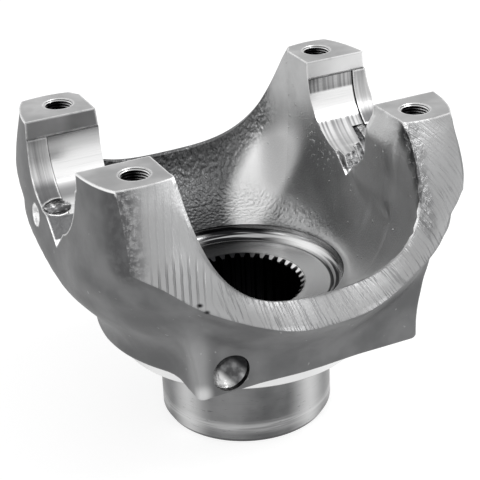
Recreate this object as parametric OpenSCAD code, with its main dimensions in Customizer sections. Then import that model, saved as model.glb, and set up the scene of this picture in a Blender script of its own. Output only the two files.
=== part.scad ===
// Forged half-round end yoke: a splined hub, a round bowl and two ears that
// carry the two bearing cups of a joint cross in open half-round seats.
// Millimetres, +Z up. Origin: centre of the hub's end face, hub axis on Z.
// X runs through both bearing seats, Y runs across them.

/* [Overall] */
// height of the four milled pads above the hub end
pad_height = 148; // [120:1:180]
// forged stock above the pads that the milling takes off
pad_stock = 0.8; // [0.2:0.1:3]

/* [Bearing seats] */
// radius of the half-round seats that hold the bearing cups
seat_radius = 30; // [20:0.1:40]
// depth of the seat axis below the pads
seat_drop = 8.2; // [0:0.1:20]
// distance between the two end stops of the seats
stop_gap = 152; // [100:0.5:200]
// radius of the stops, smaller than the seats
stop_radius = 29.2; // [19:0.1:40]
// distance between the upright walls above the seats
wall_gap = 60.8; // [50:0.1:80]
// height of the tip of the forged relief notch under the seats
relief_tip = 102.3; // [90:0.1:112]
// slope of the notch's two flanks, in degrees
relief_slope = 44; // [30:1:60]

/* [Tapped holes] */
// spacing of the tapped holes along X
hole_gap_x = 129; // [100:0.5:160]
// spacing of the tapped holes along Y
hole_gap_y = 87.5; // [70:0.5:110]
// drilled radius of the tapped holes
hole_radius = 5.8; // [3:0.05:9]
// depth of the tapped holes to the end of the cylinder
hole_depth = 30; // [15:1:45]
// depth and width of the bevel at their mouths
hole_bevel = 0.8; // [0.2:0.1:2]

/* [Hub] */
// radius of the turned hub
hub_radius = 39.5; // [30:0.5:50]
// height of the turned shoulder's lower face
shoulder_low = 39.6; // [25:0.2:55]
// radius of the turned shoulder
shoulder_radius = 57.5; // [45:0.5:65]
// width of the bevel on the hub's outer end
hub_bevel = 1.7; // [0.5:0.1:5]

/* [Splined bore] */
// number of internal teeth
tooth_count = 37; // [20:1:60]
// radius over the tips of the teeth
tooth_tip_radius = 27; // [20:0.1:35]
// radius at the roots of the teeth
tooth_root_radius = 28.9; // [21:0.1:37]

/* [Nut recess] */
// radius of the recess for the shaft nut
recess_radius = 46.8; // [38:0.2:52]
// height of the recess floor
recess_floor = 61.9; // [55:0.1:66]
// height of the edge where the recess meets the forged bowl
recess_edge = 68.2; // [64:0.1:74]

/* [Forged bowl] */
// radius of the bowl at its lower edge
base_radius = 67.3; // [55:0.1:75]
// height of the forged lower face
base_height = 50.4; // [45:0.1:55]
// height at which the bowl starts to widen
flare_height = 54; // [50:0.5:60]
// height at which the bowl is widest
belly_height = 92; // [75:1:100]
// half width of the bowl there, along X
belly_x = 88.3; // [75:0.1:95]
// half width of the bowl there, along Y
belly_y = 89.5; // [75:0.1:95]
// half width of the square base block, along X
block_x = 52.8; // [45:0.1:60]
// how much wider the block gets towards its top
block_spread = 4.2; // [0:0.1:10]
// height where the block stops widening
block_top = 88; // [70:1:100]
// half width of the square base block, along Y
block_y = 67.3; // [60:0.1:75]

/* [Ears] */
// distance of the ears' outer faces from the hub axis at the pads
ear_outer = 84.2; // [78:0.1:90]
// distance of the flat in the middle of each ear's outer face
ear_flat = 86.3; // [80:0.1:90]
// distance of the ears' inner faces from the hub axis
ear_inner = 52.4; // [45:0.1:60]
// widest point of the ears, along X
corner_x = 76.4; // [70:0.1:84]
// widest point of the ears, along Y
corner_y = 64.9; // [55:0.1:75]
// height of that point
corner_height = 116; // [105:1:125]
// half length of the pads along Y
pad_end = 54.6; // [45:0.1:62]
// how far the left ear's outer face stands out beyond the values above
left_out = 1.1; // [0:0.1:3]
// how much further its foot bulges
left_bulge = 1.3; // [0:0.1:3]
// how much thicker the left ear is towards the hub axis
left_in = 1.2; // [0:0.1:3]
// how far the right ear's outer face is drawn in at the pads
right_in = 1.4; // [0:0.1:3]
// how far it is drawn in at its foot
right_waist = 1.5; // [0:0.1:3]

/* [Opening between the ears] */
// half width of the opening at the pads, near side and far side
open_half = [53.6, 56.2]; // [45:0.1:60]
// height of the opening's lowest edge, near side and far side
open_low = [94.1, 97.1]; // [85:0.1:105]
// how full the opening's curve is, near side and far side: 1 is an ellipse, less is squarer
open_bend = [0.77, 0.65]; // [0.5:0.01:1]
// distance of that edge from the hub axis
open_out = 80.6; // [70:0.1:86]
// height of the trimmed band's lowest outer edge
band_low = 82.6; // [78:0.1:90]
// width by which the trim stands proud of the bowl below it
trim_lip = 1.6; // [0:0.1:4]

/* [Balance drilling] */
// centre of the drilled spot along X
spot_x = -37.6; // [-45:0.1:-20]
// height of the drilled spot
spot_z = 60.6; // [54:0.1:75]
// radius of the drilled spot
spot_radius = 8.4; // [3:0.1:10]
// depth of the spot's cylinder, measured to the block's front face
spot_depth = 2.6; // [1:0.1:8]

/* [Hidden] */
steel = [0.62, 0.63, 0.64];
seat_height = pad_height - seat_drop;
n_side = 9;
n_end = 4;
n_open = 16;
n_outer = 13;
n_band = 5;
n_inner = 11;
quarter = n_side + n_end + n_open;
// x where the trimmed pad end gives way to the opening
turn_x = 66;
// drop of the forged bowl's rim below the band's inner edge
lip_drop = 0.8;
// y where the ears' inner faces end, and how far the pads' ends bow out
inner_end = 50;
end_bow = 1.3;
// how far the band bows out between its edges, under the pads' ends
band_bow = 2.8;
// least distance from zero when a cosine divides
tiny = 0.001;
// height from which the left ear stands out, and height of the ears' foot
left_from = 78;
foot_height = 102;
// length over which a cutting tool reaches past the surface it cuts
past = 20;

function clamp01(v) = max(0, min(1, v));
function ease(v) = let (t = clamp01(v)) t * t * (3 - 2 * t);
function mix(a, b, t) = a + (b - a) * t;
function smooth_max(a, b, k) = let (h = max(0, k - abs(a - b)) / k) max(a, b) + h * h * k / 4;

// how square the bowl's plan is at a height: 2 is an ellipse
function plan_power(z) = 2 + 0.75 * ease((z - 88) / 18) + 0.95 * ease((z - 106) / 11)
    + 1.4 * ease((z - 114) / 10) - 1.1 * ease((z - 130) / 18);
function half_x(z) = mix(belly_x, ear_outer, ease((z - 96) / 50));
// the ears' corner line, from their widest point up to the pads
function corner_at(z) = let (t = clamp01((z - corner_height) / (pad_height - corner_height)))
    [mix(corner_x, corner_x + 0.1, t), mix(corner_y, pad_end + 0.4, pow(t, 1.6))];
function ear_y(z) = let (c = corner_at(z), n = plan_power(z))
    c[1] / pow(1 - pow(c[0] / half_x(z), n), 1 / n);
function half_y(z) = z >= corner_height ? ear_y(z) : mix(belly_y, ear_y(corner_height),
    pow(clamp01((z - belly_height) / (corner_height - belly_height)), 1.2));
function ellipse_r(a, hx, hy, n) = pow(pow(abs(cos(a)) / hx, n) + pow(abs(sin(a)) / hy, n), -1 / n);
function round_r(a, z) = z < belly_height
    ? mix(base_radius, ellipse_r(a, belly_x, belly_y, plan_power(z)),
        ease((z - flare_height) / (belly_height - flare_height)))
    : ellipse_r(a, half_x(z), half_y(z), plan_power(z));
function shell_r(a, z) = -smooth_max(-round_r(a, z), -ear_flat / max(tiny, cos(a)), 4);
function block_half(z) = block_x + block_spread * ease((z - base_height - 8) / (block_top - base_height - 8));
function block_r(a, z) =
    -smooth_max(-block_half(z) / max(tiny, cos(a)), -block_y / max(tiny, sin(a)), 4);
function outer_r(a, z) = z > 100 ? shell_r(a, z) : smooth_max(shell_r(a, z), block_r(a, z), 5);
function polar(r, a, z) = [r * cos(a), r * sin(a), z];

// y on the outer surface at a given x and height, found by halving the angle
function edge_y(x, z, low = 0, high = 90, steps = 24) = let (a = (low + high) / 2, r = outer_r(a, z))
    steps == 0 ? r * sin(a)
    : r * cos(a) > x ? edge_y(x, z, a, high, steps - 1) : edge_y(x, z, low, a, steps - 1);

// the trimmed band's outer edge at a given x, pushed out by the trim's lip
function band_z(x) = band_low + (corner_height - band_low) * pow(x / corner_x, 1.7);
function lip_out(x) = (1 + trim_lip * ease((corner_x - x) / 30) * ease(x / 20)) * ease((corner_x - x) / 24);
function trim_point(x) = let (z = band_z(x), y = edge_y(x, z), s = 1 + lip_out(x) / norm([x, y]))
    [x * s, y * s, z];

// the opening's edge from the pad (u = 0) to its lowest point (u = 1), far being 0 or 1
function open_edge(u, inset, drop, far) = let (
        c = pow(max(0, cos(90 * u)), open_bend[far]), s = pow(max(0, sin(90 * u)), open_bend[far]),
        height = pad_height - open_low[far], z = pad_height + (u == 0 ? pad_stock : 0) - height * s,
        y = mix(pad_end, open_out, sin(90 * clamp01((pad_height - z) / height))))
    [(open_half[far] - inset) * c, y - inset * s, z - drop * s];

// key points of column i in one quarter: the band's outer and inner edge, the bowl's rim
corner_angle = atan2(corner_y, corner_x);
top = pad_height + pad_stock;
function open_share(i) = max(0, (i - n_side - n_end) / n_open);
function end_share(i) = clamp01((i - n_side) / n_end);
function band_foot(i) = i <= n_side
    ? let (a = corner_angle * i / n_side) polar(outer_r(a, corner_height), a, corner_height)
    : trim_point(i <= n_side + n_end ? mix(corner_x, turn_x, end_share(i))
        : turn_x * pow(cos(90 * open_share(i)), 0.8));
function band_head(i, far) = let (c = corner_at(top), e = end_share(i)) i <= n_side + n_end
    ? [mix(c[0], open_half[far], e), mix(c[1], pad_end, e) + end_bow * sin(180 * e), top]
    : open_edge(open_share(i), 0, 0, far);
function bowl_rim(i, far) = i <= n_side ? [ear_inner, inner_end * i / n_side, top]
    : i <= n_side + n_end
    ? mix([ear_inner, inner_end, top], open_edge(0, trim_lip, lip_drop, far) - [0, 1.4, 0], end_share(i))
    : open_edge(open_share(i), trim_lip, lip_drop, far);

// rows of the outer surface: height and inset of row k under a band edge at height z
function skirt_row(k, z) = k == 0 ? [base_height, 2.2] : k == 1 ? [base_height + 0.6, 0.7]
    : [mix(base_height + 2.2, z, (k - 2) / (n_outer - 2)), 0];
// angle of the column that runs down the block's upright edge
ridge_column_angle = let (all = [for (i = [0:quarter]) let (p = band_foot(i)) atan2(p[1], p[0])],
    gap = [for (a = all) abs(a - 51)]) [for (i = [0:quarter]) if (gap[i] == min(gap)) all[i]][0];
function skirt_angle(a, z, foot_z) = let (
        ridge = atan2(block_y, block_half(z)), w = ease((foot_z - z) / 14), r = ridge_column_angle)
    a <= r ? a * (1 + (ridge / r - 1) * w) : 90 - (90 - a) * (1 + ((90 - ridge) / (90 - r) - 1) * w);
function skirt_point(a, k, foot, lip) = let (
        row = skirt_row(k, foot[2]), aa = skirt_angle(a, row[0], foot[2]),
        d = (foot[2] - row[0]) / 5)
    polar(outer_r(aa, row[0]) - row[1] + lip * exp(-d * d), aa, row[0]);
function ear_point(i, t) = let (
        z = mix(corner_height, top, t), c = corner_at(z), a = atan2(c[1], c[0]) * i / n_side)
    i == n_side ? [c[0], c[1], z] : polar(shell_r(a, z), a, z);
function bowl_point(rim, t) = let (
        e = atan2(rim[1], rim[0]), swell = max(0, 1 - e / 50) * 4.5 * sin(2 * t),
        r = mix(recess_radius + 0.3, norm([rim[0], rim[1]]), cos(t)) + swell)
    polar(r, e, mix(rim[2], recess_edge, sin(t)));

function column(i, far) = let (
        foot = band_foot(i), head = band_head(i, far), rim = bowl_rim(i, far), a = atan2(foot[1], foot[0]),
        lip = i <= n_side ? 0 : lip_out(foot[0]), bulge = band_bow * (1 - open_share(i)))
    concat(
        [for (k = [0:n_outer - 1]) skirt_point(a, k, foot, lip)],
        [for (k = [0:n_band]) let (t = k / n_band)
            i <= n_side ? ear_point(i, t) : mix(foot, head, t) + [0.25, 1, 0] * bulge * 4 * t * (1 - t)],
        [for (k = [0:n_inner]) bowl_point(rim, 90 * k / n_inner)],
        [let (e = atan2(rim[1], rim[0])) polar(recess_radius - 1.5, e, recess_edge)]);

// the band is one sheared face, so its inner rows are evened out from column to column
function evened(cols) = [for (i = [0:quarter]) [for (k = [0:rows - 1])
    i <= n_side || i == quarter || k <= n_outer || k >= n_outer + n_band ? cols[i][k]
    : (cols[i - 1][k] + 2 * cols[i][k] + cols[i + 1][k]) / 4]];

// the two ears differ a little: the left one is thicker, the right one drawn in at the pads
function ear_shift(p) = let (out = ease((abs(p[0]) - 66) / 12), z = p[2]) p[0] > 0
    ? -out * (right_in * ease((z - corner_height) / (pad_height - corner_height))
        + right_waist * exp(-pow((z - foot_height) / 9, 2)))
    : left_in * ease((62 - abs(p[0])) / 6) * ease((pad_height - z) / 8) * ease((z - 100) / 14)
        * ease((58 - abs(p[1])) / 10)
        - out * ease((abs(p[1]) - 5) / 25)
            * (left_out * ease((z - left_from) / 20) + left_bulge * exp(-pow((z - foot_height) / 13, 2)));

function mirrored(p, q) = [p[0] * (q == 0 || q == 3 ? 1 : -1), p[1] * (q < 2 ? 1 : -1), p[2]];
function placed(p) = p + [ear_shift(p), 0, 0];
rows = n_outer + n_band + n_inner + 3;
columns = 4 * quarter;
function column_of(j) = let (q = floor(j / quarter), i = j % quarter)
    [q, q % 2 == 0 ? i : quarter - i];

module forged_body() {
    sides = [for (far = [0, 1]) evened(evened(evened([for (i = [0:quarter]) column(i, far)])))];
    points = concat(
        [for (j = [0:columns - 1]) let (c = column_of(j))
            for (p = sides[c[0] < 2 ? 1 : 0][c[1]]) placed(mirrored(p, c[0]))],
        [[0, 0, base_height], [0, 0, recess_edge]]);
    last = columns * rows;
    side = [for (j = [0:columns - 1]) let (n = (j + 1) % columns) for (k = [0:rows - 2])
        for (f = [[j * rows + k, j * rows + k + 1, n * rows + k + 1],
                  [j * rows + k, n * rows + k + 1, n * rows + k]]) f];
    caps = [for (j = [0:columns - 1]) let (n = (j + 1) % columns)
        for (f = [[last, j * rows, n * rows],
                  [last + 1, n * rows + rows - 1, j * rows + rows - 1]]) f];
    polyhedron(points = points, faces = concat(side, caps), convexity = 8);
}

module turned_hub() {
    rotate_extrude($fn = 120)
        polygon([[0, 0], [hub_radius - hub_bevel, 0], [hub_radius, hub_bevel * 1.7],
            [hub_radius, shoulder_low - 2], [hub_radius + 2, shoulder_low],
            [shoulder_radius - 1, shoulder_low], [shoulder_radius, shoulder_low + 1],
            [shoulder_radius, base_height + 4], [0, base_height + 4]]);
}

// the channel between the upright walls, the two seats, the stops behind them
// and the forged notch below
module seat_cut() {
    reach = 2 * (belly_x + past);
    translate([-reach / 2, -wall_gap / 2, seat_height]) cube([reach, wall_gap, 2 * past]);
    translate([-reach / 2, 0, seat_height]) rotate([0, 90, 0])
        cylinder(r = stop_radius, h = reach, $fn = 120);
    translate([-stop_gap / 2, 0, seat_height]) rotate([0, 90, 0])
        cylinder(r = seat_radius, h = stop_gap, $fn = 120);
    flank = seat_radius / 2;
    translate([-reach / 2, 0, 0]) rotate([90, 0, 90]) linear_extrude(reach)
        polygon([[-flank, relief_tip + flank * tan(relief_slope)], [0, relief_tip],
            [flank, relief_tip + flank * tan(relief_slope)]]);
}

module tapped_hole() {
    point = hole_radius * tan(30);
    translate([0, 0, pad_height - hole_depth]) cylinder(r = hole_radius, h = hole_depth + past, $fn = 48);
    translate([0, 0, pad_height - hole_depth - point])
        cylinder(r1 = 0.1, r2 = hole_radius, h = point + 0.01, $fn = 48);
    translate([0, 0, pad_height - hole_bevel])
        cylinder(r1 = hole_radius, r2 = hole_radius + 2 * hole_bevel, h = 2 * hole_bevel, $fn = 48);
}

// flat floor for the nut's washer, a rounded groove outside it and a short upright wall
module nut_recess() {
    flat = recess_radius - 6.3;
    rotate_extrude($fn = 120)
        polygon(concat(
            [[0, recess_floor], [flat, recess_floor]],
            [for (k = [1:8]) let (a = 90 * k / 8)
                [mix(flat, recess_radius, sin(a)), recess_floor + 4.4 * (1 - cos(a))]],
            [[recess_radius, recess_edge + 1], [0, recess_edge + 1]]));
}

module splined_bore() {
    half = 180 / tooth_count;
    tip = tooth_tip_radius - 0.4;
    translate([0, 0, -1]) linear_extrude(recess_floor + 2)
        polygon([for (t = [0:tooth_count - 1]) for (p = [
            [tooth_tip_radius, -half * 0.72], [tooth_root_radius, -half * 0.42],
            [tooth_root_radius, half * 0.42], [tooth_tip_radius, half * 0.72]])
            [p[0] * cos(2 * half * t + p[1]), p[0] * sin(2 * half * t + p[1])]]);
    mouth = tooth_root_radius + 1;
    translate([0, 0, recess_floor - 1.6]) cylinder(r1 = tip, r2 = mouth, h = 2.1, $fn = 120);
    translate([0, 0, -0.5]) cylinder(r1 = mouth, r2 = tip, h = 2.6, $fn = 120);
}

module balance_spot() {
    front = 10;
    translate([spot_x, -block_y - front, spot_z]) rotate([-90, 0, 0]) {
        cylinder(r = spot_radius, h = front + spot_depth, $fn = 64);
        translate([0, 0, front + spot_depth - 0.01]) cylinder(r1 = spot_radius, r2 = 0.1, h = 4.8, $fn = 64);
    }
}

module yoke() {
    color(steel) difference() {
        union() {
            forged_body();
            turned_hub();
        }
        translate([-120, -120, pad_height]) cube([240, 240, past]);
        seat_cut();
        for (sx = [-1, 1]) for (sy = [-1, 1])
            translate([sx * hole_gap_x / 2, sy * hole_gap_y / 2, 0]) tapped_hole();
        nut_recess();
        splined_bore();
        balance_spot();
    }
}

yoke();
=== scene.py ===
"""Forged half-round end yoke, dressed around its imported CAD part.

One forged and machined piece: a splined hub, a bowl and two ears with open
bearing seats between tapped pads. Formulas are in millimetres, objects in metres.
"""

import math
from functools import reduce
from types import SimpleNamespace

import bmesh
import bpy
from bpy.props import FloatProperty, FloatVectorProperty, IntProperty, PointerProperty
from mathutils import Matrix, Vector, noise


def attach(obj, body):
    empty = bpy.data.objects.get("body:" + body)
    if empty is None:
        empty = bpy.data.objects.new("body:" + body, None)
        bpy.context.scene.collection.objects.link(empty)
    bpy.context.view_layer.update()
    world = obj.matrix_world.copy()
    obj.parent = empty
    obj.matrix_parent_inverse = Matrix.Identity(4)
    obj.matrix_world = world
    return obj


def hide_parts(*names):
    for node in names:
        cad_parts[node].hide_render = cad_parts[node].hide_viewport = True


bl_info = {
    "name": "Forged End Yoke",
    "version": (1, 0, 0),
    "blender": (4, 5, 0),
    "location": "View3D > Sidebar > End Yoke",
    "description": "Models a forged half-round end yoke, its finishes and a plain stage",
    "category": "Add Mesh",
}

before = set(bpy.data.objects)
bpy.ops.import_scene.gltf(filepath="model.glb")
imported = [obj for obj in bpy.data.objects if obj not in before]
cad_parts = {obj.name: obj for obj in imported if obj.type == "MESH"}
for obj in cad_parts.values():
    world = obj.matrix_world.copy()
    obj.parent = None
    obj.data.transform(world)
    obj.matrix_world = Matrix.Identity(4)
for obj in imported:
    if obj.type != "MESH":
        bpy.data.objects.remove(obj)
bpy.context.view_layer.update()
NODE = "yoke"
MM = 0.001
# distance within which points are one, in millimetres
WELD = 0.001
FINISHES = [
    "forged_skin",
    "forged_bowl",
    "sheared_band",
    "milled_pad",
    "bored_seat",
    "bored_stop",
    "turned_hub",
    "turned_recess",
    "cut_thread",
    "broached_spline",
    "drilled_spot",
    "torn_relief",
]


def length(name, text, value, low=0.0, high=0.3):
    return FloatProperty(
        name=name, description=text, default=value * MM, min=low, max=high,
        subtype="DISTANCE", unit="LENGTH", precision=5,
    )


def colour(name, text, value):
    return FloatVectorProperty(
        name=name, description=text, default=value, min=0.0, max=1.0, size=3, subtype="COLOR"
    )


class YokeSizes(bpy.types.PropertyGroup):
    """Sizes of the forging and of what is machined into it"""

    pad_height: length("Pad height", "Height of the milled pads over the hub end", 148)
    pad_stock: length("Pad stock", "Forged stock that the milling takes off", 0.8)
    seat_radius: length("Seat radius", "Radius of the bearing seats", 30)
    seat_drop: length("Seat drop", "Depth of the seat axis below the pads", 8.2)
    stop_gap: length("Stop gap", "Distance between the seats' end stops", 152)
    stop_radius: length("Stop radius", "Radius of the end stops", 29.2)
    wall_gap: length("Wall gap", "Distance between the walls above the seats", 60.8)
    relief_tip: length("Relief tip", "Height of the notch's tip", 102.3)
    hole_gap_x: length("Hole gap X", "Spacing of the tapped holes along X", 129)
    hole_gap_y: length("Hole gap Y", "Spacing of the tapped holes along Y", 87.5)
    hole_radius: length("Drilled radius", "Radius at the crests of the threads", 5.8)
    hole_depth: length("Hole depth", "Depth of the tapped holes", 30)
    thread_depth: length("Thread depth", "Depth of the threads' grooves", 0.62)
    thread_pitch: length("Thread pitch", "Pitch of the threads", 1.27)
    hub_radius: length("Hub radius", "Radius of the turned hub", 39.5)
    shoulder_low: length("Shoulder height", "Height of the shoulder's lower face", 39.6)
    shoulder_radius: length("Shoulder radius", "Radius of the turned shoulder", 57.5)
    hub_bevel: length("Hub bevel", "Width of the bevel on the hub's end", 1.7)
    tooth_tip_radius: length("Tooth tip radius", "Radius over the teeth's tips", 27)
    tooth_root_radius: length("Tooth root radius", "Radius at the teeth's roots", 28.9)
    recess_radius: length("Recess radius", "Radius of the nut recess", 46.8)
    recess_floor: length("Recess floor", "Height of the recess floor", 61.9)
    recess_edge: length("Recess edge", "Height of the recess's upper edge", 68.2)
    base_radius: length("Base radius", "Radius of the bowl's lower edge", 67.3)
    base_height: length("Base height", "Height of the forged lower face", 50.4)
    flare_height: length("Flare height", "Height where the bowl starts to widen", 54)
    belly_height: length("Belly height", "Height where the bowl is widest", 92)
    belly_x: length("Belly X", "Half width of the bowl along X", 88.3)
    belly_y: length("Belly Y", "Half width of the bowl along Y", 89.5)
    block_x: length("Block X", "Half width of the base block along X", 52.8)
    block_y: length("Block Y", "Half width of the base block along Y", 67.3)
    block_spread: length("Block spread", "How much wider the block gets upwards", 4.2)
    block_top: length("Block top", "Height where the block stops widening", 88)
    ear_outer: length("Ear outer face", "Distance of the ears' outer faces", 84.2)
    ear_flat: length("Ear flat", "Distance of the flat in each ear's outer face", 86.3)
    ear_inner: length("Ear inner face", "Distance of the ears' inner faces", 52.4)
    corner_x: length("Corner X", "Widest point of the ears along X", 76.4)
    corner_y: length("Corner Y", "Widest point of the ears along Y", 64.9)
    corner_height: length("Corner height", "Height of that point", 116)
    pad_end: length("Pad end", "Half length of the pads along Y", 54.6)
    left_out: length("Left ear out", "How far the left ear's outer face stands out", 1.1)
    left_bulge: length("Left ear bulge", "How much further its foot bulges", 1.3)
    left_in: length("Left ear in", "How much thicker the left ear is inwards", 1.2)
    right_in: length("Right ear in", "How far the right ear is drawn in at the pads", 1.4)
    right_waist: length("Right ear's waist", "How far it is drawn in at its foot", 1.5)
    right_fill: length("Right ear's fill", "How much thicker its near half is inwards", 3.0)
    near_half: length("Near opening", "Half width of the near opening at the pads", 53.6)
    far_half: length("Far opening", "Half width of the far opening at the pads", 56.2)
    near_low: length("Near bottom", "Height of the near opening's lowest edge", 94.1)
    far_low: length("Far bottom", "Height of the far opening's lowest edge", 97.1)
    open_out: length("Opening's reach", "Distance of that edge from the axis", 80.6)
    band_low: length("Band's bottom", "Height of the trimmed band's lowest edge", 82.6)
    trim_lip: length("Trim lip", "How far the trim stands proud", 1.6)
    spot_x: length("Spot X", "Centre of the balance spot along X", -37.6, -0.1)
    spot_z: length("Spot height", "Height of the balance spot", 60.6)
    spot_radius: length("Spot radius", "Radius of the balance spot", 8.4)
    spot_depth: length("Spot depth", "Depth of the spot's straight wall", 2.6)
    tooth_count: IntProperty(
        name="Teeth", description="Number of spline teeth", default=37, min=12, max=80
    )


class YokeColours(bpy.types.PropertyGroup):
    """Colours of the finishes"""

    skin: colour("Forged skin", "Blasted forging skin", (0.175, 0.176, 0.178))
    # dark skin: darker patches of the skin, and also the painted shade on the bowl's back left
    skin_dark_and_shade: colour("Forged skin, dark", "Darker patches of the skin", (0.1, 0.101, 0.103))
    # light skin: raised specks, and also the painted highlight on the block's front ridge
    skin_light_and_sheen: colour("Forged skin, light", "Worn and raised spots", (0.42, 0.422, 0.424))
    bowl: colour("Bowl", "Forged bowl, blasted bright", (0.36, 0.362, 0.364))
    bowl_dark: colour("Bowl, dark", "Duller patches of the bowl", (0.23, 0.232, 0.234))
    band: colour("Sheared band", "Sheared flash line", (0.35, 0.352, 0.355))
    milled: colour("Milled steel", "Milled pads and walls", (0.33, 0.33, 0.332))
    bored: colour("Bored steel", "Bored seats", (0.86, 0.86, 0.86))
    turned: colour("Turned steel", "Turned hub, shoulder and recess", (0.4, 0.4, 0.402))
    # dark steel: tool streaks, and also painted shade in hollows and creases, under rims, on the left ear's
    # walls and on the lower halves of the seats and stops
    shade: colour("Dark steel", "Dark streaks and hollows in cut steel", (0.07, 0.07, 0.072))
    # bright steel: some bright tool streaks, and mostly painted highlights and painted reflections on the
    # bowl, hub, seats, recess, threads and sharp edges
    gleam: colour("Bright steel", "Bright streaks in cut steel", (0.85, 0.85, 0.85))
    # painted shade: black deep in the tapped holes, between the spline teeth, in nicks and hollows, and in
    # the recess's dark reflections
    black: colour("Black shade", "Deep threads and splines", (0.012, 0.012, 0.013))
    floor: colour("Floor", "Pale studio floor", (0.86, 0.86, 0.86))


class YokeStage(bpy.types.PropertyGroup):
    """Camera and light"""

    camera_place: FloatVectorProperty(
        name="Camera place", description="Where the camera stands", size=3, precision=6,
        default=(-0.258493, -0.558045, 0.392318), subtype="TRANSLATION", unit="LENGTH",
    )
    camera_turn: FloatVectorProperty(
        name="Camera angles", description="Yaw, pitch and roll of the camera", size=3,
        default=[math.radians(a) for a in (-24.869, 26.684, -2.654)], subtype="EULER",
    )
    lens: FloatProperty(
        name="Focal length", description="On a sensor 36 mm wide", default=114.368,
        min=10, subtype="DISTANCE_CAMERA", unit="CAMERA",
    )
    sky: FloatProperty(
        name="Room light", description="Level of the room's even light", default=0.55, min=0
    )
    floor_white: FloatProperty(
        name="Floor's white", description="Share of the floor's white that no shadow dims",
        default=0.74, min=0, max=1,
    )
    key: FloatProperty(
        name="Key light", description="Power of the key lamp", default=9.0, min=0,
        subtype="POWER", unit="POWER",
    )


def millimetres():
    """The sizes as plain numbers in millimetres."""
    group = bpy.context.scene.yoke_sizes
    names = YokeSizes.__annotations__
    values = {k: getattr(group, k) for k in names}
    return SimpleNamespace(
        **{k: v if isinstance(v, int) else round(v / MM, 4) for k, v in values.items()}
    )


# The form of the forging, in millimetres and degrees


def clamp01(v):
    return max(0.0, min(1.0, v))


def ease(v):
    t = clamp01(v)
    return t * t * (3 - 2 * t)


def fade(v, start, stop):
    """Eases from 0 at the start to 1 at the stop, which may lie below it."""
    return ease((v - start) / (stop - start))


def hump(v, centre, width):
    """1 at the centre, falling off to 0 on both sides."""
    return math.exp(-(((v - centre) / width) ** 2))


def mix(a, b, t):
    return a + (b - a) * t


def smooth_max(a, b, k):
    """The larger of two values, blended over a width."""
    h = max(0.0, k - abs(a - b)) / k
    return max(a, b) + h * h * k / 4


def cos(a):
    return math.cos(math.radians(a))


def sin(a):
    return math.sin(math.radians(a))


def turn(y, x):
    """The angle of a direction, in degrees."""
    return math.degrees(math.atan2(y, x))


def polar(r, a, z):
    return Vector((r * cos(a), r * sin(a), z))


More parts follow.
